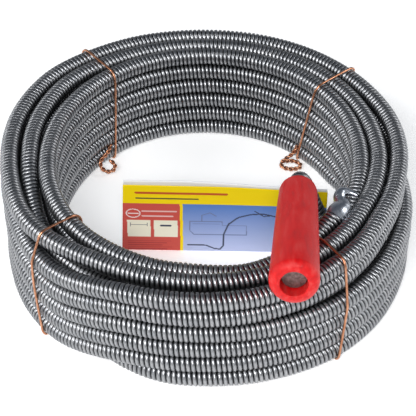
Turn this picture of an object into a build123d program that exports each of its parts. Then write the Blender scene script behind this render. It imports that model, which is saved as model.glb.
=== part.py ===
from build123d import *
import os
from math import cos, sin, tan, radians, pi, sqrt

# Drain auger: ten metres of hollow sprung steel cable, wound into a tied coil.  One end
# of the cable carries the working head.  The other end is formed into a crank round a
# bent steel core, and a loose plastic grip turns on it.
# Millimetres, +Z up.  Places are worked out round the middle of the coil, on the floor.
# The grip overhangs the front, so the middle of the whole object's footprint, where the
# origin is, lies a little in front of that: each piece is moved back by as much.

# ---- driving dimensions ---------------------------------------------------------------
CABLE_OD = 9.0               # outside of the close-wound spring
WIRE_OD = 2.2                # wire that the spring is wound from
CABLE_LENGTH = 10000.0       # all the cable, crank and leads included
FRONT_OVERHANG = 8.6         # of the grip's free end, past the coil's outermost turn

COIL_COLUMNS = 3             # turns side by side
COIL_LAYERS = 6              # turns on top of each other
COIL_MEAN_X = 85.6           # semi-axes of the coil's middle line: it lies slightly oval
COIL_MEAN_Y = 97.7
COIL_EDGE_R = 4.0            # rounding where the outermost turns curve away

TIE_WIRE = 1.2               # soft copper wire
TIE_SLACK = 0.1              # between a tie and the turns it holds
TIE_LIFT = 0.02              # a tie's foot lies between two ribs, just off the floor
TIE_CORNER_R = 4.6           # over the coil's top
TIE_FOOT_R = 2.4             # under it
TIE_TAIL_OD = 2.4            # the two ends twisted together

# Seat at the coil's top inner edge, where the last turn leaves it for the head
SEAT_SIDE_CLEAR = 2.5        # seat wider than the cable by
SEAT_DROP = 3.3              # seat deeper than the cable by
SEAT_FROM = -82.0            # degrees round the coil, anticlockwise from +X
SEAT_TO = -24.0

# Grip: a tapered sleeve, free to turn on the straight end of the crank
GRIP_LENGTH = 82.7
GRIP_NEAR_WALL = 6.37        # outside the bore, at the free end
GRIP_FAR_WALL = 4.32         # outside the bore, at the crank's end
GRIP_NEAR_BEVEL = 2.4
GRIP_FAR_ROUND = 4.0
GRIP_RUNNING_CLEARANCE = 0.08
GRIP_FAR_PLACE = (43.6, -36.7)   # middle of its end at the crank, in plan
GRIP_FAR_RISE = 4.0          # and that point's height over the coil's top
GRIP_TILT = 9.0              # degrees that its free end is raised
GRIP_YAW = 4.4               # degrees that it is swung from -Y towards -X

# What holds the grip on the cable
RECESS_DEPTH = 6.0           # from the grip's free end face to the end cap
CAP_WALL = 1.0               # outside the cable
CAP_CLEARANCE = 0.5          # round the cap, in its pocket
CAP_LENGTH = 4.0
CAP_END = 1.2
WASHER_THICKNESS = 0.8
WASHER_PLAY = 0.3
COLLAR_WALL = 1.7
COLLAR_CLEARANCE = 0.4
COLLAR_LENGTH = 3.6
COLLAR_PLAY = 0.3

# Crank, formed from the cable itself
CRANK_TOP_BEND_R = 11.0
CRANK_LOW_BEND_R = 14.0
CRANK_TAIL_CLEAR = 4.5       # straight cable between the grip and the top bend
ARM_THROW = 49.4
ARM_SWING = 23.5             # degrees that the arm is swung from straight down
STUB_LENGTH = 15.5
STUB_HEADING = 84.5          # degrees from +X
STUB_FALL = 9.0              # degrees below level
CORE_CLEARANCE = 0.1         # between the bent core and the inside of the spring

# Working head: crimped sleeve, waist and a hooked claw
SLEEVE_WALL = 0.9            # outside the cable
SLEEVE_LENGTH = 9.0
SOCKET_DEPTH = 7.0
WAIST_R = 3.0
CLAW_TIP_R = 2.1
CLAW_BEND_R = 3.6
CLAW_RISE = (0.6, 5.2, 2.4)  # from the end of the neck to the corner of the hook
CLAW_REACH = (5.6, -0.4, 0.7)
NECK_LENGTH = 3.6

# Folded card that stands inside the coil
CARD_WIDTH = 101.0
CARD_HEIGHT = 42.0
CARD_BACK_EXTRA = 0.8        # the back leaf stands a little taller
CARD_THICKNESS = 0.5
CARD_GAP = 2.4
CARD_LEFT_FOOT = (-41.4, -13.6)
CARD_TURN = -1.5             # degrees about +Z

# ---- worked out from them -------------------------------------------------------------
CABLE_R = CABLE_OD / 2
BORE_R = CABLE_R - WIRE_OD
COIL_WIDTH = COIL_COLUMNS * CABLE_OD
COIL_HEIGHT = COIL_LAYERS * CABLE_OD
OUTER_X, OUTER_Y = COIL_MEAN_X + COIL_WIDTH / 2, COIL_MEAN_Y + COIL_WIDTH / 2
INNER_X, INNER_Y = COIL_MEAN_X - COIL_WIDTH / 2, COIL_MEAN_Y - COIL_WIDTH / 2
SEAT_WIDTH = CABLE_OD + SEAT_SIDE_CLEAR
SEAT_DEPTH = CABLE_OD + SEAT_DROP
SEAT_FLOOR = COIL_HEIGHT - SEAT_DEPTH
SLEEVE_R = CABLE_R + SLEEVE_WALL
CAP_R = CABLE_R + CAP_WALL
CAP_POCKET_R = CAP_R + CAP_CLEARANCE
COLLAR_R = CABLE_R + COLLAR_WALL
COLLAR_POCKET_R = COLLAR_R + COLLAR_CLEARANCE
GRIP_BORE_R = CABLE_R + GRIP_RUNNING_CLEARANCE
GRIP_NEAR_R = GRIP_BORE_R + GRIP_NEAR_WALL
GRIP_FAR_R = GRIP_BORE_R + GRIP_FAR_WALL

# The route of the last turn from the coil to the head, in plan and height
HEAD_ROUTE = [
    (12.4, -88.0, 48.2),
    (25.8, -83.4, 47.9),
    (37.9, -74.9, 47.5),
    (47.0, -65.4, 48.0),
    (53.2, -58.2, 49.4),
    (59.8, -50.6, 51.7),
]
SLEEVE_DIRECTION = Vector(3.6, 5.0, 1.6).normalized()

# The route from the crank's stub back into the coil's lowest inner turn
STUB_ROUTE_RUN = 20.0
STUB_ROUTE_END = (75.5, 28.0, 6.5)


def save(part, name):
    os.makedirs("parts", exist_ok=True)
    export_step(Pos(0, FRONT_OVERHANG / 2, 0) * part, f"parts/{name}.step")


def oval_radius(semi_x, semi_y, degrees):
    """Distance from the middle to an oval, in the direction given."""
    return 1 / sqrt((cos(radians(degrees)) / semi_x) ** 2 + (sin(radians(degrees)) / semi_y) ** 2)


def gentle_radii(points):
    """The largest arc that both runs at each corner have room for."""
    radii = []
    for before, corner, after in zip(points, points[1:], points[2:]):
        arriving = Vector(*corner) - Vector(*before)
        leaving = Vector(*after) - Vector(*corner)
        half_turn = radians(arriving.get_angle(leaving)) / 2
        radii.append(0.45 * min(arriving.length, leaving.length) / tan(half_turn))
    return radii


def rounded_path(points, radii):
    with BuildLine() as line:
        FilletPolyline(*[tuple(Vector(*p)) for p in points], radius=radii)
    return line.wire()


def tube(path, outer_r, inner_r=0.0):
    """A round bar or tube along a path that is tangent throughout."""
    start = Plane(origin=path @ 0, z_dir=path % 0)
    solid = sweep(start * Circle(outer_r), path=path)
    if inner_r:
        solid -= sweep(start * Circle(inner_r), path=path)
    return solid


# ---- axes of the crank ----------------------------------------------------------------
GRIP_AXIS = Vector(
    -sin(radians(GRIP_YAW)) * cos(radians(GRIP_TILT)),
    -cos(radians(GRIP_YAW)) * cos(radians(GRIP_TILT)),
    sin(radians(GRIP_TILT)),
)
GRIP_FAR = Vector(*GRIP_FAR_PLACE, COIL_HEIGHT + GRIP_FAR_RISE)
SIDEWAYS = GRIP_AXIS.cross(Vector(0, 0, -1)).normalized()
STRAIGHT_DOWN = SIDEWAYS.cross(GRIP_AXIS)
if SIDEWAYS.X < 0:
    SIDEWAYS = SIDEWAYS * -1
if STRAIGHT_DOWN.Z > 0:
    STRAIGHT_DOWN = STRAIGHT_DOWN * -1
ARM_DIRECTION = STRAIGHT_DOWN * cos(radians(ARM_SWING)) + SIDEWAYS * sin(radians(ARM_SWING))
STUB_DIRECTION = Vector(
    cos(radians(STUB_HEADING)) * cos(radians(STUB_FALL)),
    sin(radians(STUB_HEADING)) * cos(radians(STUB_FALL)),
    -sin(radians(STUB_FALL)),
)
CABLE_END = GRIP_LENGTH - RECESS_DEPTH - CAP_END          # along the axis from the far face
TOP_CORNER = GRIP_FAR - GRIP_AXIS * (CRANK_TAIL_CLEAR + CRANK_TOP_BEND_R)
LOW_CORNER = TOP_CORNER + ARM_DIRECTION * ARM_THROW
STUB_END = LOW_CORNER + STUB_DIRECTION * STUB_LENGTH
GRIP_PLANE = Plane(origin=GRIP_FAR, z_dir=GRIP_AXIS)


def crank_path():
    corners = [GRIP_FAR + GRIP_AXIS * CABLE_END, TOP_CORNER, LOW_CORNER, STUB_END]
    return rounded_path(corners, [CRANK_TOP_BEND_R, CRANK_LOW_BEND_R])


def disc(outer_r, inner_r, start, length):
    """A ring round the grip's axis, from start to start + length along it."""
    with BuildPart() as ring:
        with BuildSketch(GRIP_PLANE.offset(start)):
            Circle(outer_r)
            if inner_r:
                Circle(inner_r, mode=Mode.SUBTRACT)
        extrude(amount=length)
    return ring.part


# ---- the cable ------------------------------------------------------------------------
def cable_coil():
    """The tied turns as one closed ring, with the seat that the last turn lies in."""
    ring = extrude(Ellipse(OUTER_X, OUTER_Y) - Ellipse(INNER_X, INNER_Y), COIL_HEIGHT)
    rims = ring.edges().filter_by(lambda e: abs(e.center().Z - e.bounding_box().min.Z) < 1e-3)
    ring = fillet(rims.filter_by(lambda e: e.length > COIL_WIDTH * 2), COIL_EDGE_R)
    reach = 2 * OUTER_Y
    wedge = make_face(Polyline(
        (0, 0),
        (reach * cos(radians(SEAT_FROM)), reach * sin(radians(SEAT_FROM))),
        (reach * cos(radians(SEAT_TO)), reach * sin(radians(SEAT_TO))),
        close=True,
    ))
    seat = Ellipse(INNER_X + SEAT_WIDTH, INNER_Y + SEAT_WIDTH) & wedge
    ring -= Pos(0, 0, SEAT_FLOOR) * extrude(seat, 2 * SEAT_DEPTH)
    groove = TIE_WIRE + 2 * TIE_SLACK
    for degrees, *_ in TIES.values():
        channel = Box(2 * OUTER_Y, groove, groove, align=(Align.MIN, Align.CENTER, Align.MIN))
        ring -= Rot(0, 0, degrees) * channel
    return ring


def head_lead_points():
    socket_floor = Vector(*HEAD_ROUTE[-1]) + SLEEVE_DIRECTION * SOCKET_DEPTH
    return [Vector(*p) for p in HEAD_ROUTE] + [socket_floor]


def stub_lead_points():
    return [STUB_END, STUB_END + STUB_DIRECTION * STUB_ROUTE_RUN, Vector(*STUB_ROUTE_END)]


def cable_lead(points, label):
    radii = gentle_radii(points)
    path = rounded_path(points, radii)
    lead = tube(path, CABLE_R)
    ratio = lead.volume / (pi * CABLE_R ** 2 * path.length)
    print(f"{label}: length {path.length:.1f}, radii {[round(r, 1) for r in radii]},"
          f" volume over section times length {ratio:.4f}")
    return lead, path.length


# ---- crank and grip -------------------------------------------------------------------
def grip():
    with BuildPart() as sleeve:
        with BuildSketch(Plane.XZ) as outline:
            with BuildLine():
                Polyline(
                    (0, 0),
                    (GRIP_FAR_R, 0),
                    (GRIP_NEAR_R, GRIP_LENGTH),
                    (0, GRIP_LENGTH),
                    close=True,
                )
            make_face()
            far_rim = outline.vertices().sort_by(lambda v: -v.X + v.Y)[0]
            fillet(far_rim, GRIP_FAR_ROUND)
            near_rim = outline.vertices().sort_by(lambda v: -v.X - v.Y)[0]
            fillet(near_rim, GRIP_NEAR_BEVEL)
        revolve(axis=Axis.Z)
    body = GRIP_PLANE * sleeve.part
    cap_pocket = RECESS_DEPTH + CAP_LENGTH + WASHER_THICKNESS + WASHER_PLAY
    collar_pocket = COLLAR_LENGTH + COLLAR_PLAY
    body -= disc(GRIP_BORE_R, 0, -1, GRIP_LENGTH + 2)
    body -= disc(CAP_POCKET_R, 0, GRIP_LENGTH - cap_pocket, cap_pocket + 1)
    body -= disc(COLLAR_POCKET_R, 0, -1, collar_pocket + 1)
    return body


def end_cap():
    start = CABLE_END + CAP_END - CAP_LENGTH
    cup = disc(CAP_R, 0, start, CAP_LENGTH) - disc(CABLE_R, 0, start, CAP_LENGTH - CAP_END)
    return cup


def grip_washer():
    start = CABLE_END + CAP_END - CAP_LENGTH - WASHER_THICKNESS
    return disc(CAP_R, CABLE_R, start, WASHER_THICKNESS)


def stop_collar():
    return disc(COLLAR_R, CABLE_R, 0, COLLAR_LENGTH)


# ---- working head ---------------------------------------------------------------------
def auger_head():
    mouth = Vector(*HEAD_ROUTE[-1])
    frame = Plane(origin=mouth, z_dir=SLEEVE_DIRECTION)
    with BuildPart() as sleeve:
        with BuildSketch(Plane.XZ):
            with BuildLine():
                Polyline(
                    (0, 0),
                    (SLEEVE_R, 0),
                    (SLEEVE_R, SLEEVE_LENGTH),
                    (WAIST_R, SLEEVE_LENGTH + NECK_LENGTH),
                    (0, SLEEVE_LENGTH + NECK_LENGTH),
                    close=True,
                )
            make_face()
        revolve(axis=Axis.Z)
    body = frame * sleeve.part
    body -= frame * extrude(Circle(CABLE_R), SOCKET_DEPTH)
    neck_end = mouth + SLEEVE_DIRECTION * (SLEEVE_LENGTH + NECK_LENGTH)
    inside = neck_end - SLEEVE_DIRECTION
    corner = neck_end + Vector(*CLAW_RISE)
    tip = corner + Vector(*CLAW_REACH)
    hook = rounded_path([inside, corner, tip], [CLAW_BEND_R])
    body += tube(hook, WAIST_R)
    reach = Vector(*CLAW_REACH).normalized()
    body += Plane(origin=tip, z_dir=reach) * extrude(Circle(WAIST_R), CLAW_TIP_R, taper=20)
    return body


# ---- copper ties ----------------------------------------------------------------------
def tie_loop(degrees, under_seat):
    """A closed loop of wire round the coil's section, in the upright plane given."""
    gap = TIE_SLACK + TIE_WIRE / 2
    inner = oval_radius(INNER_X, INNER_Y, degrees) - gap
    outer = oval_radius(OUTER_X, OUTER_Y, degrees) + gap
    low, high = TIE_LIFT + TIE_WIRE / 2, COIL_HEIGHT + gap
    corners = [(inner, low), (outer, low), (outer, high)]
    if under_seat:
        ledge = oval_radius(INNER_X + SEAT_WIDTH, INNER_Y + SEAT_WIDTH, degrees) - gap
        floor = SEAT_FLOOR + gap
        corners += [(ledge, high), (ledge, floor), (inner, floor)]
        radii = [TIE_FOOT_R, TIE_FOOT_R, TIE_CORNER_R, TIE_WIRE, TIE_WIRE, TIE_WIRE]
    else:
        corners += [(inner, high)]
        radii = [TIE_FOOT_R, TIE_FOOT_R, TIE_CORNER_R, TIE_CORNER_R]
    upright = Plane(origin=(0, 0, 0), x_dir=(cos(radians(degrees)), sin(radians(degrees)), 0),
                    z_dir=(sin(radians(degrees)), -cos(radians(degrees)), 0))
    with BuildLine(upright) as line:
        FilletPolyline(*corners, radius=radii, close=True)
    return tube(line.wire(), TIE_WIRE / 2)


def tie_tail(points):
    path = rounded_path(points, gentle_radii(points))
    return tube(path, TIE_TAIL_OD / 2)


def copper_tie(degrees, tail_bearing, tail_length, under_seat=False):
    """A loop with its twisted ends bent off its foot, over the floor inside the coil."""
    foot_r = oval_radius(INNER_X, INNER_Y, degrees) - TIE_SLACK - TIE_WIRE / 2
    height = TIE_CORNER_R + TIE_TAIL_OD
    foot = Vector(foot_r * cos(radians(degrees)), foot_r * sin(radians(degrees)), height)
    inward = Vector(-cos(radians(degrees)), -sin(radians(degrees)), 0)
    along = Vector(cos(radians(tail_bearing)), sin(radians(tail_bearing)), 0)
    elbow = foot + inward * (tail_length * 0.45) - Vector(0, 0, height * 0.4)
    end = elbow + along * (tail_length * 0.55)
    end.Z = TIE_TAIL_OD / 2 + TIE_SLACK
    return tie_loop(degrees, under_seat) + tie_tail([foot, elbow, end])


# ---- folded card ----------------------------------------------------------------------
def label_card():
    """Two leaves joined by a fold along the foot."""
    fold_r = CARD_GAP / 2 + CARD_THICKNESS
    with BuildPart() as card:
        with BuildSketch(Plane.YZ):
            with Locations((fold_r, fold_r)):
                Circle(fold_r)
                Circle(fold_r - CARD_THICKNESS, mode=Mode.SUBTRACT)
            with Locations((0, fold_r)):
                Rectangle(2 * fold_r, fold_r, align=(Align.MIN, Align.MIN), mode=Mode.SUBTRACT)
                Rectangle(CARD_THICKNESS, CARD_HEIGHT - fold_r, align=(Align.MIN, Align.MIN))
            with Locations((2 * fold_r, fold_r)):
                Rectangle(CARD_THICKNESS, CARD_HEIGHT + CARD_BACK_EXTRA - fold_r,
                          align=(Align.MAX, Align.MIN))
        extrude(amount=CARD_WIDTH)
    return Pos(*CARD_LEFT_FOOT, 0) * Rot(0, 0, CARD_TURN) * card.part


# ---- build ----------------------------------------------------------------------------
TIES = {
    "tie_front_right": (-55.0, 150.0, 9.0, True),
    "tie_front_left": (-139.0, 20.0, 9.0, False),
    "tie_back_left": (125.5, -60.0, 12.0, False),
    "tie_back_right": (43.0, 200.0, 12.0, False),
}


def build():
    save(cable_coil(), "cable_coil")
    head_lead, head_length = cable_lead(head_lead_points(), "lead to the head")
    save(head_lead, "cable_lead_head")
    stub_lead, stub_length = cable_lead(stub_lead_points(), "lead to the crank")
    save(stub_lead, "cable_lead_crank")
    crank_line = crank_path()
    save(tube(crank_line, CABLE_R, BORE_R), "crank")
    save(tube(crank_line, BORE_R - CORE_CLEARANCE), "crank_core")
    save(grip(), "grip")
    save(end_cap(), "end_cap")
    save(grip_washer(), "grip_washer")
    save(stop_collar(), "stop_collar")
    save(auger_head(), "auger_head")
    for name, (degrees, bearing, length, under_seat) in TIES.items():
        save(copper_tie(degrees, bearing, length, under_seat), name)
    save(label_card(), "label_card")
    oval = pi * (3 * (COIL_MEAN_X + COIL_MEAN_Y)
                 - sqrt((3 * COIL_MEAN_X + COIL_MEAN_Y) * (COIL_MEAN_X + 3 * COIL_MEAN_Y)))
    wound = CABLE_LENGTH - head_length - stub_length - crank_line.length
    print(f"crank {crank_line.length:.1f}; {wound:.0f} wound, {wound / oval:.2f} turns")


build()
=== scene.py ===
from math import cos, sin, radians, degrees, pi, sqrt
import bpy
import numpy as np
from mathutils import Matrix, Vector


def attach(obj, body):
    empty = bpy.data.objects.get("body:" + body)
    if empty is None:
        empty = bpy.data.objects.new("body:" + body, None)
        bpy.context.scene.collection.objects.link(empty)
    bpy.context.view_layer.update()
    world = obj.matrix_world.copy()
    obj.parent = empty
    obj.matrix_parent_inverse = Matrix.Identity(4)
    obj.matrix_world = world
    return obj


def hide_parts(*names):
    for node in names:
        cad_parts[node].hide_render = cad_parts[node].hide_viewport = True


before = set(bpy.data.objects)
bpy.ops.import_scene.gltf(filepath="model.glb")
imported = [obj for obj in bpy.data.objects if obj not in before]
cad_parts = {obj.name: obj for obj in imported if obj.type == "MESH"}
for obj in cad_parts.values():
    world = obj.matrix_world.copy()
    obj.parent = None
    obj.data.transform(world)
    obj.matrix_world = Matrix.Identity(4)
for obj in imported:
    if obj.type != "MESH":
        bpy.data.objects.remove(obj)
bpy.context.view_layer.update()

# Drain auger: a ten-metre sprung cable wound into a tied coil, with a crank and a loose
# red grip at one end, a crimped head at the other, and a folded card inside the coil.
# Places are in millimetres round the middle of the coil; `metres` takes them to the frame.

MM = 0.001
SETBACK = 4.3                # the frame's origin lies this far in front of the coil's middle

# ---- the cable, as in the CAD model ---------------------------------------------------
CABLE_R = 4.5
RIB_PITCH = 2.25             # from one turn of the spring's wire to the next
GROOVE_DEPTH = 1.05
LAYER_PITCH = 9.03
MIDDLE_INSET, INNER_INSET = 9.0, 18.2   # the two inner columns, in from the outer one
COIL_HEIGHT = 54.0
OVAL_MEAN, OVAL_SHARE = 100.65, 0.06
POINTS_PER_TURN = 36

# The crank, the grip and the head, as in the CAD model
GRIP_LENGTH = 82.7
GRIP_NEAR_R, GRIP_FAR_R, GRIP_BORE_R = 10.95, 8.9, 4.58
GRIP_FAR = Vector((43.6, -36.7, 58.0))
GRIP_TILT, GRIP_YAW = radians(9.0), radians(4.4)
ARM_THROW, ARM_SWING = 49.4, radians(23.5)
TOP_BEND_R, LOW_BEND_R, TAIL_CLEAR = 11.0, 14.0, 4.5
STUB_LENGTH, STUB_HEADING, STUB_FALL = 15.5, radians(84.5), radians(9.0)

HEAD_ROUTE = [
    (12.4, -88.0, 49.0),
    (25.8, -83.4, 48.7),
    (37.9, -74.9, 48.3),
    (47.0, -65.4, 48.6),
    (53.2, -58.2, 49.6),
    (59.8, -50.6, 51.7),
]
SLEEVE_DIRECTION = Vector((3.6, 5.0, 1.6)).normalized()
SOCKET_DEPTH = 6.0
STUB_ROUTE_RUN = 20.0
STUB_ROUTE_END = (75.5, 28.0, 5.2)
CRANK_IN_GRIP = 6.0          # how far the ribbed crank is carried into the grip's far end
STUB_OVERLAP = 1.2           # how far it runs on past the place where the cable begins
PATH_SPACING = 4.0

GRIP_AXIS = Vector((-sin(GRIP_YAW) * cos(GRIP_TILT), -cos(GRIP_YAW) * cos(GRIP_TILT), sin(GRIP_TILT)))
SIDEWAYS = GRIP_AXIS.cross(Vector((0, 0, -1))).normalized()
SIDEWAYS = SIDEWAYS if SIDEWAYS.x > 0 else -SIDEWAYS
STRAIGHT_DOWN = SIDEWAYS.cross(GRIP_AXIS)
STRAIGHT_DOWN = STRAIGHT_DOWN if STRAIGHT_DOWN.z < 0 else -STRAIGHT_DOWN
ARM_DIRECTION = STRAIGHT_DOWN * cos(ARM_SWING) + SIDEWAYS * sin(ARM_SWING)
STUB_DIRECTION = Vector((
    cos(STUB_HEADING) * cos(STUB_FALL),
    sin(STUB_HEADING) * cos(STUB_FALL),
    -sin(STUB_FALL),
))
TOP_CORNER = GRIP_FAR - GRIP_AXIS * (TAIL_CLEAR + TOP_BEND_R)
LOW_CORNER = TOP_CORNER + ARM_DIRECTION * ARM_THROW
STUB_END = LOW_CORNER + STUB_DIRECTION * STUB_LENGTH


def metres(points):
    """Points in coil millimetres as an array in the frame's metres."""
    if not isinstance(points, np.ndarray):
        points = np.asarray([tuple(p) for p in points], dtype=float)
    return (points + np.array([0.0, SETBACK, 0.0])) * MM


# ---- camera ---------------------------------------------------------------------------
def add_camera():
    data = bpy.data.cameras.new("camera")
    data.lens, data.sensor_width = 131.4, 36.0
    data.clip_start, data.clip_end = 0.01, 20.0
    camera = bpy.data.objects.new("camera", data)
    bpy.context.scene.collection.objects.link(camera)
    camera.location = (0.0, -0.5880, 0.4961)
    target = Vector((0.0016, -0.0007, 0.0207))
    camera.rotation_euler = (target - camera.location).to_track_quat("-Z", "Y").to_euler()
    bpy.context.scene.camera = camera


add_camera()


# ---- small helpers --------------------------------------------------------------------
def smooth(t):
    """An eased share from 0 to 1, for a number or an array."""
    t = np.clip(t, 0, 1)
    return t * t * (3 - 2 * t)


def keyed(table, angle):
    """A smooth value round the circle, through {degrees: value}."""
    keys = sorted(table)
    angle %= 360.0
    after = next((k for k in keys if k > angle), keys[0] + 360)
    before = max((k for k in keys if k <= angle), default=keys[-1] - 360)
    share = smooth((angle - before) / (after - before))
    return table[before % 360] * (1 - share) + table[after % 360] * share


def mesh_object(name, points, faces):
    """A mesh object from an array of points in coil millimetres and an array of quads."""
    mesh = bpy.data.meshes.new(name)
    points = metres(np.asarray(points, dtype=float))
    faces = np.asarray(faces, dtype=np.int32)
    mesh.vertices.add(len(points))
    mesh.vertices.foreach_set("co", points.astype(np.float32).ravel())
    sides = faces.shape[1]
    mesh.loops.add(faces.size)
    mesh.loops.foreach_set("vertex_index", faces.ravel())
    mesh.polygons.add(len(faces))
    mesh.polygons.foreach_set("loop_start", np.arange(0, faces.size, sides, dtype=np.int32))
    mesh.polygons.foreach_set("loop_total", np.full(len(faces), sides, dtype=np.int32))
    mesh.update(calc_edges=True)
    mesh.validate()
    mesh.polygons.foreach_set("use_smooth", np.ones(len(mesh.polygons), dtype=bool))
    item = bpy.data.objects.new(name, mesh)
    bpy.context.scene.collection.objects.link(item)
    return item


def spline_points(points, closed=False, resolution=12):
    """Points read from a smooth NURBS spline through control points, in coil millimetres."""
    curve = bpy.data.curves.new("route", "CURVE")
    curve.dimensions = "3D"
    curve.resolution_u = resolution
    spline = curve.splines.new("NURBS")
    spline.points.add(len(points) - 1)
    for knot, point in zip(spline.points, points):
        knot.co = (point[0], point[1], point[2], 1.0)
    spline.order_u = 3
    spline.use_endpoint_u = not closed
    spline.use_cyclic_u = closed
    item = bpy.data.objects.new("route", curve)
    mesh = bpy.data.meshes.new_from_object(item)
    line = np.empty(len(mesh.vertices) * 3)
    mesh.vertices.foreach_get("co", line)
    bpy.data.objects.remove(item)
    bpy.data.curves.remove(curve)
    bpy.data.meshes.remove(mesh)
    return line.reshape(-1, 3)


def along(line, spacing):
    """The line's points, evenly spaced from its start."""
    steps = np.linalg.norm(np.diff(line, axis=0), axis=1)
    keep = np.concatenate([[True], steps > 1e-7])
    line = line[keep]
    distance = np.concatenate([[0.0], np.cumsum(np.linalg.norm(np.diff(line, axis=0), axis=1))])
    wanted = np.arange(0.0, distance[-1], spacing)
    return np.stack([np.interp(wanted, distance, line[:, i]) for i in range(3)], axis=1)


def carried_frames(line):
    """Tangents and two cross directions that are carried along the line without twisting."""
    tangents = np.gradient(line, axis=0)
    tangents /= np.linalg.norm(tangents, axis=1)[:, None]
    first = np.array([0.0, 0.0, 1.0]) if abs(tangents[0][2]) < 0.9 else np.array([1.0, 0.0, 0.0])
    across = np.empty_like(line)
    for i, tangent in enumerate(tangents):
        first = first - tangent * first.dot(tangent)
        first = first / np.linalg.norm(first)
        across[i] = first
    return tangents, across, np.cross(tangents, across)


def ribbed_tube(name, line, samples=6, around=14):
    """A close-wound spring: the wire's crest and groove run round the tube as a true helix."""
    row = along(line, RIB_PITCH / (samples * around))
    tangents, across, third = carried_frames(row[::around])
    rows = (len(row) - 1) // around - samples
    i, j = np.meshgrid(np.arange(rows), np.arange(around), indexing="ij")
    spot = i * around + j * samples
    blend = spot / around
    low = np.minimum(blend.astype(int), len(tangents) - 2)
    share = (blend - low)[..., None]
    side = across[low] * (1 - share) + across[low + 1] * share
    other = third[low] * (1 - share) + third[low + 1] * share
    phase = (i / samples % 1.0 + 0.5) % 1.0 - 0.5
    crest = np.sqrt(np.maximum(0.0, 1.0 - (2 * phase) ** 2))
    radius = CABLE_R - GROOVE_DEPTH * (1.0 - crest)
    turn = 2 * pi * j / around
    outward = side * np.cos(turn)[..., None] + other * np.sin(turn)[..., None]
    points = row[spot] + outward * radius[..., None]
    index = i * around + j
    count = rows - samples - 1
    here, ahead = index[:count], index[1:count + 1]
    beside = np.hstack([here[:, 1:], index[samples:samples + count, :1]])
    ahead_beside = np.hstack([ahead[:, 1:], index[samples + 1:samples + 1 + count, :1]])
    faces = np.stack([here, ahead, ahead_beside, beside], axis=-1).reshape(-1, 4)
    tube = mesh_object(name, points.reshape(-1, 3), faces)
    # The depth of the groove at each point; the spring material darkens its colour by it as painted shade.
    groove = tube.data.attributes.new("groove", "FLOAT", "POINT")
    groove.data.foreach_set("value", (1.0 - crest).astype(np.float32).ravel())
    return tube


# ---- the wound turns ------------------------------------------------------------------
# Columns are 0 inner, 1 middle, 2 outer.  The cable starts in the lowest inner turn,
# goes out under the coil, climbs the outside, comes down the middle, and climbs the
# inside to its last turn.  Each move is (column, layer, bearing of its middle, half width).
I0_START, LAST_BEARING = 20.3, 278.0


def moves():
    """The slots in order, with the bearing at which the cable moves into each."""
    listed = [(1, 0, 307.0, 18.0), (2, 0, 248.0, 14.0)]
    listed += [(2, layer, 240.0, 14.0) for layer in range(1, 6)]
    listed += [(1, 5, 222.0, 22.0)]
    listed += [(1, layer, 196.0, 16.0) for layer in range(4, 0, -1)]
    listed += [(0, 1, 2.0, 16.0)]
    listed += [(0, layer, 327.0, 19.0) for layer in range(2, 6)]
    return listed


# How far each visible turn strays from the oval, in millimetres, by bearing in degrees
OUTER_TOP = {0: 0.5, 15: 2.0, 31: 1.5, 60: 1.0, 90: 0.0, 120: 2.0, 140: 5.0, 155: 4.0, 170: 2.5,
             185: 0.5, 200: 0.0, 222: 1.5, 250: 0.0, 270: -0.5, 303: -1.1, 316: -1.7, 329: -3.0,
             342: -1.7}
OUTER_LOW = {0: 2.5, 15: 1.5, 31: 1.5, 60: 1.0, 90: 0.0, 120: 2.0, 140: 4.5, 155: 3.5, 170: 2.0,
             185: 0.0, 200: 0.0, 214: 1.5, 227: 2.0, 250: 0.8, 270: 0.0, 290: 1.5, 305: 3.5,
             318: 4.0, 335: 3.7, 350: 3.7}
MIDDLE_TOP = {0: -9.4, 45: -8.8, 90: -9.2, 120: -8.0, 138: -5.0, 160: -6.8, 180: -9.0, 215: -9.6,
              240: -10.4, 270: -11.4, 303: -11.2, 316: -12.0, 329: -12.4, 342: -11.2}
INNER_TOP = {0: -18.6, 45: -17.9, 90: -18.2, 180: -17.9, 215: -18.2, 245: -19.4, 270: -18.8,
             300: -18.4, 330: -19.6}
MIDDLE_TOP_LIFT = {0: 0.0, 180: 0.0, 225: 0.6, 255: 1.4, 300: 1.4, 330: 0.6}


def slot_place(column, layer, bearing):
    """Distance from the middle and height of a slot's centre line at a bearing."""
    base = OVAL_MEAN * (1 - OVAL_SHARE * cos(2 * radians(bearing)))
    height = CABLE_R + LAYER_PITCH * layer
    waver = 0.25 * sin(radians(bearing) * 3 + layer * 1.7 + column * 2.3)
    if column == 2:
        table = OUTER_TOP if layer >= 4 else OUTER_LOW
        return base + keyed(table, bearing) + waver, height
    if column == 1 and layer == 5:
        return base + keyed(MIDDLE_TOP, bearing), height + keyed(MIDDLE_TOP_LIFT, bearing)
    if column == 1:
        return base - MIDDLE_INSET + 0.45 * keyed(OUTER_LOW, bearing), height
    if layer == 5:
        return base + keyed(INNER_TOP, bearing), height
    return base - INNER_INSET - abs(waver), height


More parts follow.
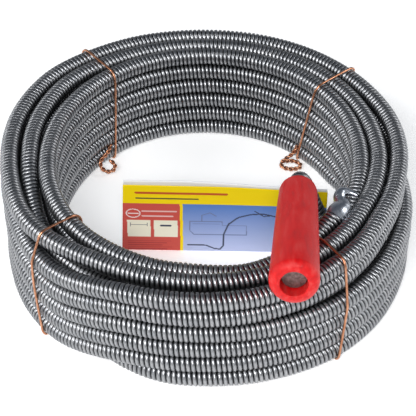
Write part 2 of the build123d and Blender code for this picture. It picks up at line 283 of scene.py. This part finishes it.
def wound_points():
    """Control points of all the turns, from the lowest inner one to the last."""
    stops, angle = [(0, 0, I0_START - 400.0, 1.0)], I0_START
    for column, layer, bearing, half in moves():
        while bearing - half < angle:
            bearing += 360.0
        stops.append((column, layer, bearing, half))
        angle = bearing + half
    last = LAST_BEARING
    while last < angle:
        last += 360.0
    count = int(round((last - I0_START) / 360.0 * POINTS_PER_TURN))
    points = []
    for step in range(count + 1):
        bearing = I0_START + (last - I0_START) * step / count
        now = max(n for n, stop in enumerate(stops) if bearing >= stop[2] - stop[3])
        radius, height = slot_place(stops[now][0], stops[now][1], bearing)
        if now:
            share = smooth((bearing - stops[now][2] + stops[now][3]) / (2 * stops[now][3]))
            old_radius, old_height = slot_place(stops[now - 1][0], stops[now - 1][1], bearing)
            radius = old_radius * (1 - share) + radius * share
            height = old_height * (1 - share) + height * share
        points.append((radius * cos(radians(bearing)), radius * sin(radians(bearing)), height))
    return points


def cable_points():
    """Control points of the whole cable, from the crank's end to the head's socket."""
    stub = [tuple(STUB_END), tuple(STUB_END + STUB_DIRECTION * STUB_ROUTE_RUN), STUB_ROUTE_END]
    head = HEAD_ROUTE + [tuple(Vector(HEAD_ROUTE[-1]) + SLEEVE_DIRECTION * SOCKET_DEPTH)]
    return stub + wound_points()[1:-2] + head


# ---- materials ------------------------------------------------------------------------
def new_material(name, roughness=0.5, metallic=0.0):
    """A material with a Principled shader; returns it, its node tree and the shader."""
    material = bpy.data.materials.new(name)
    material.use_nodes = True
    tree = material.node_tree
    shader = tree.nodes["Principled BSDF"]
    shader.inputs["Roughness"].default_value = roughness
    shader.inputs["Metallic"].default_value = metallic
    return material, tree, shader


def noise(tree, scale, detail=4.0):
    """A noise texture on object coordinates; scale is per metre."""
    coordinates = tree.nodes.new("ShaderNodeTexCoord")
    texture = tree.nodes.new("ShaderNodeTexNoise")
    texture.inputs["Scale"].default_value = scale
    texture.inputs["Detail"].default_value = detail
    tree.links.new(coordinates.outputs["Object"], texture.inputs["Vector"])
    return texture.outputs["Fac"]


def ramp(tree, factor, *stops):
    """A colour ramp with (position, colour) stops."""
    node = tree.nodes.new("ShaderNodeValToRGB")
    elements = node.color_ramp.elements
    while len(elements) < len(stops):
        elements.new(0.5)
    for element, (position, colour) in zip(elements, stops):
        element.position = position
        element.color = (*colour, 1.0)
    tree.links.new(factor, node.inputs["Fac"])
    return node.outputs["Color"]


def spread(tree, factor, low, high, new_low, new_high):
    """A value carried from one range to another."""
    node = tree.nodes.new("ShaderNodeMapRange")
    slot_names = ("From Min", "From Max", "To Min", "To Max")
    for slot_name, value in zip(slot_names, (low, high, new_low, new_high)):
        node.inputs[slot_name].default_value = value
    tree.links.new(factor, node.inputs["Value"])
    return node.outputs["Result"]


def bump(tree, shader, height, strength, distance):
    node = tree.nodes.new("ShaderNodeBump")
    node.inputs["Strength"].default_value = strength
    node.inputs["Distance"].default_value = distance
    tree.links.new(height, node.inputs["Height"])
    tree.links.new(node.outputs["Normal"], shader.inputs["Normal"])


def metal(name, dark, light, rough_low, rough_high, patch=140.0, grain=2600.0, grain_bump=0.12):
    """Plated or drawn metal: cloudy tone, uneven polish and a fine grain."""
    material, tree, shader = new_material(name, metallic=1.0)
    cloud = noise(tree, patch, 5.0)
    tree.links.new(ramp(tree, cloud, (0.3, dark), (0.7, light)), shader.inputs["Base Color"])
    fine = noise(tree, grain, 3.0)
    tree.links.new(spread(tree, fine, 0.3, 0.7, rough_low, rough_high), shader.inputs["Roughness"])
    bump(tree, shader, fine, grain_bump, 0.0002)
    return material


def spring_material():
    """Zinc-plated spring wire: bright crests, and painted shade darkening the base colour down in the
    grooves.
    """
    material, tree, shader = new_material("spring_zinc", metallic=1.0)
    cloud = noise(tree, 160.0, 5.0)
    plating = ramp(tree, cloud, (0.3, (0.31, 0.32, 0.335)), (0.7, (0.44, 0.445, 0.455)))
    # Painted shade: the plating colour is multiplied darker towards the bottom of each groove between the
    # wire's turns, to near black.
    depth = tree.nodes.new("ShaderNodeAttribute")
    depth.attribute_name = "groove"
    shadow = ramp(tree, depth.outputs["Fac"], (0.0, (1.0, 1.0, 1.0)), (0.22, (0.62, 0.62, 0.63)),
                  (0.62, (0.03, 0.032, 0.036)))
    mix = tree.nodes.new("ShaderNodeMix")
    mix.data_type, mix.blend_type = "RGBA", "MULTIPLY"
    mix.inputs["Factor"].default_value = 1.0
    tree.links.new(plating, mix.inputs["A"])
    tree.links.new(shadow, mix.inputs["B"])
    tree.links.new(mix.outputs["Result"], shader.inputs["Base Color"])
    fine = noise(tree, 2600.0, 3.0)
    tree.links.new(spread(tree, fine, 0.3, 0.7, 0.30, 0.42), shader.inputs["Roughness"])
    bump(tree, shader, fine, 0.05, 0.0002)
    return material


SPRING = spring_material()
HEAD_METAL = metal("bright_zinc", (0.40, 0.43, 0.48), (0.60, 0.63, 0.68), 0.26, 0.38, 220.0, 900.0, 0.25)
STEEL = metal("bare_steel", (0.28, 0.27, 0.26), (0.42, 0.41, 0.40), 0.30, 0.5)
# The end cap sits deep in the grip's pocket: its dark base colour is painted shade, and its red tint a
# painted reflection of the red walls round it.
CAP_METAL_SHADED = metal("cap_steel_painted_shade", (0.10, 0.07, 0.065), (0.30, 0.22, 0.21), 0.4, 0.65, 700.0)
COPPER = metal("soft_copper", (0.40, 0.17, 0.09), (0.66, 0.33, 0.20), 0.24, 0.42, 300.0)


def grip_material():
    """Moulded red plastic whose tone varies in streaks along its length, the lightest streaks greyish as a
    painted sheen, with a fine mould texture.
    """
    material, tree, shader = new_material("red_plastic", roughness=0.4)
    coordinates = tree.nodes.new("ShaderNodeTexCoord")
    mapping = tree.nodes.new("ShaderNodeMapping")
    mapping.inputs["Scale"].default_value = (1.0, 0.16, 1.0)
    tone_and_sheen_streaks = tree.nodes.new("ShaderNodeTexNoise")
    tone_and_sheen_streaks.inputs["Scale"].default_value = 420.0
    tone_and_sheen_streaks.inputs["Detail"].default_value = 6.0
    tree.links.new(coordinates.outputs["Object"], mapping.inputs["Vector"])
    tree.links.new(mapping.outputs["Vector"], tone_and_sheen_streaks.inputs["Vector"])
    # The red stops are the plastic's own uneven tone; the greyish top stop is a painted sheen.
    colour = ramp(tree, tone_and_sheen_streaks.outputs["Fac"], (0.25, (0.46, 0.003, 0.005)), (0.5, (0.60, 0.005, 0.006)),
                  (0.72, (0.62, 0.045, 0.042)))
    tree.links.new(colour, shader.inputs["Base Color"])
    fine = noise(tree, 5200.0, 3.0)
    tree.links.new(spread(tree, tone_and_sheen_streaks.outputs["Fac"], 0.3, 0.75, 0.32, 0.5), shader.inputs["Roughness"])
    bump(tree, shader, fine, 0.35, 0.0003)
    shader.inputs["Specular IOR Level"].default_value = 0.28
    return material


def card_material():
    """Printed card: the print is in the mesh's own colours, with paper grain and a soft sheen."""
    material, tree, shader = new_material("printed_card", roughness=0.42)
    printed = tree.nodes.new("ShaderNodeVertexColor")
    printed.layer_name = "print"
    grain = noise(tree, 2200.0, 4.0)
    mix = tree.nodes.new("ShaderNodeMix")
    mix.data_type, mix.blend_type = "RGBA", "MULTIPLY"
    mix.inputs["Factor"].default_value = 0.10
    tree.links.new(printed.outputs["Color"], mix.inputs["A"])
    tree.links.new(ramp(tree, grain, (0.3, (0.75, 0.75, 0.75)), (0.7, (1.0, 1.0, 1.0))), mix.inputs["B"])
    tree.links.new(mix.outputs["Result"], shader.inputs["Base Color"])
    bump(tree, shader, grain, 0.08, 0.0002)
    shader.inputs["Specular IOR Level"].default_value = 0.22
    return material


RED = grip_material()
CARD = card_material()


def finish_piece(item, material, body):
    item.data.materials.clear()
    item.data.materials.append(material)
    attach(item, body)


# ---- the cable and the crank ----------------------------------------------------------
def make_cable():
    """The whole ribbed cable, and points along its middle."""
    line = spline_points(cable_points())
    path = np.vstack([along(line, PATH_SPACING), line[-1]])
    cable = ribbed_tube("cable", line)
    finish_piece(cable, SPRING, "auger")
    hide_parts("cable_coil", "cable_lead_head", "cable_lead_crank")
    return cable, path


def bend(before, corner, after, radius, count=14):
    """Points of the tangent arc that rounds a corner."""
    arriving, leaving = (corner - before).normalized(), (after - corner).normalized()
    turn = arriving.angle(leaving)
    start = corner - arriving * radius * np.tan(turn / 2)
    normal = arriving.cross(leaving).normalized()
    centre = start + normal.cross(arriving) * radius
    spoke = start - centre
    return [centre + Matrix.Rotation(turn * i / count, 3, normal) @ spoke for i in range(count + 1)]


def make_crank():
    """The formed end of the cable, from inside the grip down to the first turn."""
    start = GRIP_FAR + GRIP_AXIS * CRANK_IN_GRIP
    line = [start] + bend(start, TOP_CORNER, LOW_CORNER, TOP_BEND_R)
    line += bend(TOP_CORNER, LOW_CORNER, STUB_END, LOW_BEND_R)
    line += [STUB_END + STUB_DIRECTION * STUB_OVERLAP]
    crank = ribbed_tube("crank_cable", np.array([tuple(p) for p in line]), around=20)
    finish_piece(crank, SPRING, "auger")
    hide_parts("crank")


# ---- the grip -------------------------------------------------------------------------
def basis(origin, axis):
    """Origin, and two directions across an axis, as arrays."""
    axis = Vector(axis).normalized()
    first = axis.orthogonal().normalized()
    return np.array(origin), np.array(axis), np.array(first), np.array(axis.cross(first))


def lathe(name, origin, axis, outline, around=96):
    """A closed turned piece: outline is a list of (along the axis, radius), run as a loop."""
    centre, axis, first, second = basis(origin, axis)
    turn = np.linspace(0, 2 * pi, around, endpoint=False)
    ring = np.cos(turn)[:, None] * first + np.sin(turn)[:, None] * second
    points = np.vstack([centre + axis * run + ring * radius for run, radius in outline])
    count = len(outline)
    faces = [
        (i * around + j, i * around + (j + 1) % around,
         (i + 1) % count * around + (j + 1) % around, (i + 1) % count * around + j)
        for i in range(count) for j in range(around)
    ]
    return mesh_object(name, points, faces)


def arc_outline(run, radius, size, start, end, count=8):
    """Points of a rounded edge in (along, radius), round a centre, from start to end degrees."""
    angles = np.radians(np.linspace(start, end, count))
    return [(run + size * sin(a), radius + size * cos(a)) for a in angles]


def make_grip():
    """The tapered sleeve, with a pocket at each end and a bore between them."""
    cap_pocket_depth, collar_pocket = 11.1, 3.9
    pocket = GRIP_LENGTH - cap_pocket_depth
    far_round, near_round, lip = 4.6, 3.9, 0.5
    mouth_r, pocket_r, chamfer = 6.0, 6.6, 0.15
    rim = -degrees(np.arccos((pocket_r + chamfer - GRIP_FAR_R + far_round) / far_round))
    outline = arc_outline(far_round, GRIP_FAR_R - far_round, far_round, rim, -4)
    for share in np.linspace(0.1, 0.9, 9):
        run = far_round + (GRIP_LENGTH - near_round - far_round) * share
        swell = 0.10 * sin(pi * share)
        outline.append((run, GRIP_FAR_R + (GRIP_NEAR_R - GRIP_FAR_R) * run / GRIP_LENGTH + swell))
    outline += arc_outline(GRIP_LENGTH - near_round, GRIP_NEAR_R - near_round, near_round, 2, 88)
    outline += [(GRIP_LENGTH - lip * (1 - cos(a)), mouth_r + lip * (1 - sin(a)))
                for a in np.linspace(0, pi / 2, 5)]
    outline += [(pocket + 0.05, mouth_r), (pocket, mouth_r - 0.05), (pocket, GRIP_BORE_R)]
    outline += [(collar_pocket, GRIP_BORE_R), (collar_pocket, pocket_r)]
    outline += [(outline[0][0] + chamfer, pocket_r)]
    grip = lathe("red_grip", GRIP_FAR, GRIP_AXIS, outline, 128)
    grip.data.set_sharp_from_angle(angle=radians(38))
    finish_piece(grip, RED, "handle")
    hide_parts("grip")


# ---- the head -------------------------------------------------------------------------
def swept_piece(name, centres, radii, around=40, squash=None):
    """A skinned piece along a smooth line whose thickness follows given radii."""
    line = spline_points(centres, resolution=10)
    steps = np.concatenate([[0.0], np.cumsum(np.linalg.norm(np.diff(line, axis=0), axis=1))])
    keep = np.concatenate([[True], np.diff(steps) > 1e-6])
    line, steps = line[keep], steps[keep] / steps[-1]
    spots = np.linspace(0, 1, len(radii))
    thick = spline_points([(spot, radius, 0.0) for spot, radius in zip(spots, radii)], resolution=10)
    radius = np.interp(steps, thick[:, 0], thick[:, 1])
    across, third = carried_frames(line)[1:]
    turn = np.linspace(0, 2 * pi, around, endpoint=False)
    flat = squash or (lambda share, angle: 1.0)
    points = []
    for i, place in enumerate(line):
        shape = np.array([flat(steps[i], a) for a in turn])
        ring = np.cos(turn)[:, None] * across[i] + np.sin(turn)[:, None] * third[i]
        points.append(place + ring * (radius[i] * shape)[:, None])
    rows = len(line)
    faces = [
        (i * around + j, i * around + (j + 1) % around,
         (i + 1) * around + (j + 1) % around, (i + 1) * around + j)
        for i in range(rows - 1) for j in range(around)
    ]
    body = np.vstack(points + [line[:1], line[-1:]])
    item = mesh_object(name, body, faces)
    mesh = item.data
    extra = [(rows * around, (j + 1) % around, j) for j in range(around)]
    last = (rows - 1) * around
    extra += [(rows * around + 1, last + j, last + (j + 1) % around) for j in range(around)]
    quads = [tuple(p.vertices) for p in mesh.polygons]
    places = [v.co.copy() for v in mesh.vertices]
    mesh.clear_geometry()
    mesh.from_pydata(places, [], quads + extra)
    mesh.polygons.foreach_set("use_smooth", np.ones(len(mesh.polygons), dtype=bool))
    mesh.set_sharp_from_angle(angle=radians(50))
    mesh.update()
    return item


def make_head():
    """The crimped sleeve, its waist and the hooked claw."""
    mouth = Vector(HEAD_ROUTE[-1])
    d = SLEEVE_DIRECTION
    centres = [mouth - d * 0.6, mouth + d * 1.0, mouth + d * 3.0, mouth + d * 5.5, mouth + d * 8.0,
               (62.7, -41.0, 54.4), (62.8, -38.9, 55.6), (64.0, -37.3, 56.4), (66.3, -37.2, 56.6),
               (69.0, -38.1, 56.2), (71.0, -39.2, 55.8)]
    radii = [4.6, 5.0, 5.15, 4.9, 4.2, 3.3, 2.9, 2.9, 2.7, 2.1, 1.5, 1.2, 0.9]

    def crimp(share, angle):
        """Two facing flats pressed into the sleeve."""
        depth = 0.10 * max(0.0, sin(pi * min(1.0, share / 0.5)))
        return 1.0 - depth * max(0.0, cos(2 * angle + 0.6)) ** 2

    head = swept_piece("auger_head_visual", centres, radii, squash=crimp)
    finish_piece(head, HEAD_METAL, "auger")
    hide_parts("auger_head")
    return head


# ---- the ties -------------------------------------------------------------------------
WIRE_R = 0.62


def hull(points):
    """The convex outline of flat points, anticlockwise."""
    points = sorted(set(points))

    def half(run):
        kept = []
        for p in run:
            while len(kept) > 1 and ((kept[-1][0] - kept[-2][0]) * (p[1] - kept[-2][1])
                                     - (kept[-1][1] - kept[-2][1]) * (p[0] - kept[-2][0])) <= 0:
                kept.pop()
            kept.append(p)
        return kept[:-1]

    return half(points) + half(points[::-1])


def tie_line(cable_line, bearing, slant):
    """A wire pulled tight round the turns' section, leaning by slant degrees to its foot."""
    angles = np.degrees(np.arctan2(cable_line[:, 1], cable_line[:, 0])) % 360
    radii = np.hypot(cable_line[:, 0], cable_line[:, 1])
    discs = []
    for i in range(len(cable_line) - 1):
        height = cable_line[i, 2]
        at = (bearing + slant * (1 - height / COIL_HEIGHT)) % 360
        if angles[i] <= at < angles[i + 1] and angles[i + 1] - angles[i] < 90:
            share = (at - angles[i]) / (angles[i + 1] - angles[i])
            discs.append((radii[i] + share * (radii[i + 1] - radii[i]), height))
    reach = CABLE_R + WIRE_R + 0.05
    around = [(round(r + reach * cos(a), 4), round(max(WIRE_R + 0.03, z + reach * sin(a)), 4))
              for r, z in discs for a in np.linspace(0, 2 * pi, 28, endpoint=False)]
    outline = hull(around)
    line = []
    for r, z in outline:
        at = radians(bearing + slant * (1 - min(1.0, max(0.0, z / COIL_HEIGHT))))
        line.append((r * cos(at), r * sin(at), z))
    return line


def wire(name, centres, radius, closed, resolution=3):
    """A round wire through points, as a mesh of its own."""
    curve = bpy.data.curves.new(name, "CURVE")
    curve.dimensions = "3D"
    curve.resolution_u = resolution
    curve.bevel_depth = radius * MM
    curve.bevel_resolution = 3
    curve.use_fill_caps = not closed
    spline = curve.splines.new("NURBS")
    spline.points.add(len(centres) - 1)
    for knot, place in zip(spline.points, metres(centres)):
        knot.co = (*place, 1.0)
    spline.order_u = 3
    spline.use_endpoint_u = not closed
    spline.use_cyclic_u = closed
    item = bpy.data.objects.new(name + "_curve", curve)
    mesh = bpy.data.meshes.new_from_object(item)
    mesh.name = name
    bpy.data.objects.remove(item)
    bpy.data.curves.remove(curve)
    mesh.polygons.foreach_set("use_smooth", np.ones(len(mesh.polygons), dtype=bool))
    piece = bpy.data.objects.new(name, mesh)
    bpy.context.scene.collection.objects.link(piece)
    return piece


def joined(name, pieces):
    """One object from several meshes."""
    whole = bpy.data.meshes.new(name)
    places, faces = [], []
    for piece in pieces:
        start = len(places)
        places += [v.co.copy() for v in piece.data.vertices]
        faces += [tuple(start + v for v in p.vertices) for p in piece.data.polygons]
        bpy.data.objects.remove(piece)
    whole.from_pydata(places, [], faces)
    whole.polygons.foreach_set("use_smooth", np.ones(len(whole.polygons), dtype=bool))
    item = bpy.data.objects.new(name, whole)
    bpy.context.scene.collection.objects.link(item)
    return item


def twisted_pair(route, twist_radius, turns):
    """Two wires wound round each other along a route."""
    spacing = 0.35
    line = along(spline_points(route, resolution=10), spacing)
    across, third = carried_frames(line)[1:]
    strands = []
    for side in (0.0, pi):
        angle = np.linspace(0, 2 * pi * turns, len(line)) + side
        offset = (np.cos(angle)[:, None] * across + np.sin(angle)[:, None] * third) * twist_radius
        strands.append(line + offset)
    return strands


def make_tie(name, cable_line, bearing, slant, tail_route, turns):
    """A wire loop round the coil and its two ends twisted together."""
    loop = wire(name + "_loop", tie_line(cable_line, bearing, slant), WIRE_R, True)
    strands = [wire(name + "_end", strand, WIRE_R * 0.93, False)
               for strand in twisted_pair(tail_route, WIRE_R * 1.02, turns)]
    tie = joined(name + "_wire", [loop] + strands)
    finish_piece(tie, COPPER, "auger")
    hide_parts(name)


# ---- the card -------------------------------------------------------------------------
CARD_WIDTH, CARD_HEIGHT, CARD_BACK_EXTRA = 101.0, 42.0, 0.8
CARD_FOOT = (-41.4, -13.6)
CARD_TURN = radians(-1.5)
CARD_GAP_R = 1.45
CARD_THICKNESS = 0.38
FOOT_CLEAR = 0.25            # keeps the fold's underside off the floor
YELLOW, PANEL_RED, CREAM = (0.93, 0.69, 0.0), (0.60, 0.085, 0.065), (0.85, 0.82, 0.66)
SKY, MIST, INK = (0.09, 0.21, 0.55), (0.50, 0.55, 0.77), (0.045, 0.055, 0.10)
PAPER = (0.74, 0.76, 0.80)


def painter(u, v):
    """The print, by distance from the card's left edge and height, in millimetres."""
    colour = np.empty(u.shape + (3,))
    colour[:] = PAPER

    def fill(mask, tone):
        colour[mask] = tone

    def box(x0, y0, x1, y1):
        return (u >= x0) & (u <= x1) & (v >= y0) & (v <= y1)

    def stroke(points, width, tone, inside=None):
        near = np.full(u.shape, 1e9)
        for (x0, y0), (x1, y1) in zip(points, points[1:]):
            run = (x1 - x0) ** 2 + (y1 - y0) ** 2
            t = np.clip(((u - x0) * (x1 - x0) + (v - y0) * (y1 - y0)) / run, 0, 1)
            near = np.minimum(near, np.hypot(u - x0 - t * (x1 - x0), v - y0 - t * (y1 - y0)))
        fill(near <= width / 2 if inside is None else (near <= width / 2) & inside, tone)

    band = CARD_HEIGHT - 11.2
    fill(box(-1, 0, 200, 60), YELLOW)
    shade = np.clip((v / band), 0, 1)[..., None]
    blue = np.array(MIST) * (1 - shade) + np.array(SKY) * shade
    panel = box(30.6, 0, 200, band)
    colour[panel] = blue[panel]
    fill(box(-1, 0, 29.2, band), PANEL_RED)
    for x0, x1 in ((3.0, 14.6), (16.2, 28.0)):
        fill(box(x0, 9.6, x1, 20.2), CREAM)
    circle = np.array([(6.2 + 3.4 * cos(a), 24.6 + 2.6 * sin(a)) for a in np.linspace(0, 2 * pi, 25)])
    stroke(circle, 0.5, (0.85, 0.80, 0.78))
    stroke([(3.6, 24.6), (8.8, 24.6)], 0.5, (0.85, 0.80, 0.78))
    stroke([(4.6, 17.4), (13.0, 17.4)], 0.35, INK)
    stroke([(4.6, 16.4), (4.6, 18.4)], 0.35, INK)
    stroke([(13.0, 16.4), (13.0, 18.4)], 0.35, INK)
    stroke([(19.8, 17.0), (24.4, 17.0)], 1.1, INK)
    for row in range(5):
        stroke([(3.2, 7.0 - 1.3 * row), (24.6 - 2.2 * (row % 3), 7.0 - 1.3 * row)], 0.42, (0.42, 0.05, 0.05))
    for x0, x1, y in ((10.6, 27.4, 26.0), (10.6, 25.6, 23.0)):
        stroke([(x0, y), (x1, y)], 0.7, (0.78, 0.52, 0.50))
    stroke([(8.0, CARD_HEIGHT - 4.4), (52.0, CARD_HEIGHT - 4.4)], 1.4, (0.55, 0.10, 0.02))
    stroke([(8.0, CARD_HEIGHT - 7.8), (38.0, CARD_HEIGHT - 7.8)], 1.0, (0.10, 0.10, 0.03))
    line = (0.16, 0.20, 0.36)
    stroke([(34.0, 20.0), (50.0, 20.0), (50.0, 17.6), (62.0, 17.6), (62.0, 11.6), (36.0, 11.6), (34.0, 14.0),
            (34.0, 20.0)], 0.45, line)
    stroke([(35.5, 18.4), (48.6, 18.4)], 0.35, line)
    stroke([(40.0, 20.0), (40.0, 24.0), (44.0, 25.6), (47.0, 23.6)], 0.5, line)
    hose = [(50.6, 4.6), (50.8, 12.0), (53.2, 18.6), (58.0, 23.0), (64.0, 25.0), (70.0, 25.6), (76.0, 24.0)]
    stroke(hose, 0.8, INK)
    stroke([(33.0, 4.8), (38.0, 4.8), (42.0, 4.6), (46.0, 2.6), (49.0, 2.2), (50.6, 4.6)], 0.8, INK)
    stroke([(66.0, 27.2), (70.4, 24.0), (73.4, 24.4)], 0.6, INK)
    stroke([(78.0, 27.4), (86.0, 27.4), (86.0, 16.0), (79.6, 16.0), (78.0, 20.0)], 0.45, line)
    for step in range(5):
        stroke([(78.6, 22.0 - 2.4 * step), (82.6, 23.4 - 2.4 * step)], 0.5, line)
    fill(box(92.0, 0, 200, CARD_HEIGHT - 14.0) & (u + 1.3 * (CARD_HEIGHT - v) > 106), YELLOW)
    return colour


def make_card():
    """One sheet folded at its foot: a printed front leaf and a plain back leaf."""
    cell, bow_depth, sag_depth, lean = 0.28, 0.5, 3.2, 1.7
    columns = int(CARD_WIDTH / cell)
    front = [(0.0, z) for z in np.arange(CARD_HEIGHT, CARD_GAP_R + FOOT_CLEAR, -cell)]
    fold = [(CARD_GAP_R - CARD_GAP_R * cos(a), CARD_GAP_R + FOOT_CLEAR - CARD_GAP_R * sin(a))
            for a in np.linspace(0, pi, 11)]
    top = CARD_HEIGHT + CARD_BACK_EXTRA
    back = [(2 * CARD_GAP_R, z) for z in np.linspace(CARD_GAP_R + 0.3, top, 30)]
    profile = np.array(front + fold + back)
    u = np.linspace(0, CARD_WIDTH, columns + 1)
    grid_u, grid_row = np.meshgrid(u, np.arange(len(profile)), indexing="ij")
    depth, height = profile[grid_row, 0], profile[grid_row, 1]
    lift = np.clip(height / CARD_HEIGHT, 0, 1)
    bow = bow_depth * np.sin(pi * grid_u / CARD_WIDTH) * lift ** 2
    sag = sag_depth * smooth((grid_u - 40) / 75) * lift ** 3
    is_back = depth > CARD_GAP_R
    y = depth + np.where(is_back, 0.25 * bow, -bow)
    z = np.where(height > 3, height - np.where(is_back, 0.4 * sag, sag), height)
    z = z - np.where(is_back, 0.05 * np.clip(grid_u - 30, 0, 60) * lift, 0)
    grid_u = grid_u + lean * lift * (1 - grid_u / CARD_WIDTH)
    x = CARD_FOOT[0] + grid_u * cos(CARD_TURN) - y * sin(CARD_TURN)
    yy = CARD_FOOT[1] + 0.25 + grid_u * sin(CARD_TURN) + y * cos(CARD_TURN)
    points = np.stack([x, yy, z], axis=-1).reshape(-1, 3)
    rows = len(profile)
    index = np.arange(points.shape[0]).reshape(columns + 1, rows)
    corners = [index[:-1, :-1], index[:-1, 1:], index[1:, 1:], index[1:, :-1]]
    faces = np.stack(corners, axis=-1).reshape(-1, 4)
    card = mesh_object("card_sheet", points, faces)
    colours = np.ones((points.shape[0], 4), dtype=np.float32)
    painted = painter(grid_u, height)
    plain = np.empty_like(painted)
    plain[:] = PAPER
    colours[:, :3] = np.where(is_back[..., None], plain, painted).reshape(-1, 3)
    layer = card.data.color_attributes.new("print", "FLOAT_COLOR", "POINT")
    layer.data.foreach_set("color", colours.ravel())
    thickness = card.modifiers.new("thickness", "SOLIDIFY")
    thickness.thickness, thickness.offset = CARD_THICKNESS * MM, 0.0
    finish_piece(card, CARD, "auger")
    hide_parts("label_card")


# ---- floor and light ------------------------------------------------------------------
def add_floor():
    material, tree, shader = new_material("pale_floor", roughness=0.9)
    tone = ramp(tree, noise(tree, 6.0, 2.0), (0.3, (0.90, 0.90, 0.90)), (0.7, (0.93, 0.93, 0.93)))
    tree.links.new(tone, shader.inputs["Base Color"])
    shader.inputs["Specular IOR Level"].default_value = 0.1
    shader.inputs["Emission Color"].default_value = (1.0, 1.0, 1.0, 1.0)
    shader.inputs["Emission Strength"].default_value = 0.38
    mesh = bpy.data.meshes.new("floor")
    reach = 6.0
    mesh.from_pydata([(-reach, -reach, 0), (reach, -reach, 0), (reach, reach, 0), (-reach, reach, 0)],
                     [], [(0, 1, 2, 3)])
    mesh.materials.append(material)
    floor = bpy.data.objects.new("floor", mesh)
    bpy.context.scene.collection.objects.link(floor)


def add_softbox(name, place, width, height, power):
    """A rectangular light, in metres and watts, turned to the origin."""
    light = bpy.data.lights.new(name, "AREA")
    light.shape, light.size, light.size_y, light.energy = "RECTANGLE", width, height, power
    item = bpy.data.objects.new(name, light)
    bpy.context.scene.collection.objects.link(item)
    item.location = place
    item.rotation_euler = (-Vector(place)).to_track_quat("-Z", "Y").to_euler()


def add_world():
    world = bpy.data.worlds.new("studio")
    world.use_nodes = True
    tree = world.node_tree
    coordinates = tree.nodes.new("ShaderNodeTexCoord")
    split = tree.nodes.new("ShaderNodeSeparateXYZ")
    tree.links.new(coordinates.outputs["Generated"], split.inputs["Vector"])
    tone = ramp(tree, split.outputs["Z"], (0.0, (0.85, 0.85, 0.84)), (0.25, (0.45, 0.46, 0.48)),
                (0.52, (0.14, 0.16, 0.19)))
    tree.links.new(tone, tree.nodes["Background"].inputs["Color"])
    tree.nodes["Background"].inputs["Strength"].default_value = 0.75
    bpy.context.scene.world = world


# ---- build ----------------------------------------------------------------------------
cable, cable_line = make_cable()
make_crank()
make_grip()
head = make_head()
# By tie: bearing, slant, the route of its twisted ends and how many turns they are given
TAILS = {
    "tie_front_right": (306.5, -3.0, [(44, -66, 10), (40, -60, 6), (33, -57, 3), (27, -58, 2.0)], 4),
    "tie_front_left": (221.0, 4.0, [(-57, -52, 10), (-52, -48, 6), (-46, -48, 3), (-40, -50, 2.0)], 4),
    "tie_back_left": (126.0, 2.0, [(-50.6, 67.4, 10), (-50.4, 61.8, 9.5), (-51.8, 56.6, 8.5),
                                   (-55.6, 52.6, 7.0), (-55.4, 49.0, 4.6), (-51.6, 47.0, 3.0),
                                   (-47.8, 48.4, 3.6), (-47.6, 52.0, 5.4), (-51.0, 53.2, 6.4)], 6),
    "tie_back_right": (42.0, 9.0, [(49.6, 60.0, 11), (48.0, 57.6, 8), (44.4, 57.4, 5), (40.6, 54.8, 3.2),
                                   (41.6, 51.4, 2.6), (46.6, 50.2, 2.4), (51.8, 51.8, 2.4),
                                   (50.6, 55.2, 3.4), (45.4, 55.8, 4.4), (42.6, 53.6, 5.0)], 7),
}
for tie_name, (bearing, slant, tail_route, turns) in TAILS.items():
    make_tie(tie_name, cable_line, bearing, slant, tail_route, turns)
make_card()

CAD_METALS = {"crank_core": STEEL, "end_cap": CAP_METAL_SHADED, "grip_washer": STEEL, "stop_collar": STEEL}
for node_name, material in CAD_METALS.items():
    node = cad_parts[node_name]
    node.data.materials.clear()
    node.data.materials.append(material)

add_floor()
add_world()
add_softbox("key", place=(-0.25, -1.05, 0.98), width=0.9, height=0.40, power=18)
add_softbox("left", place=(-1.3, -0.1, 0.7), width=0.4, height=0.8, power=7)
add_softbox("right", place=(1.3, 0.0, 0.7), width=0.4, height=0.8, power=7)
bpy.context.scene.view_settings.view_transform = "Standard"
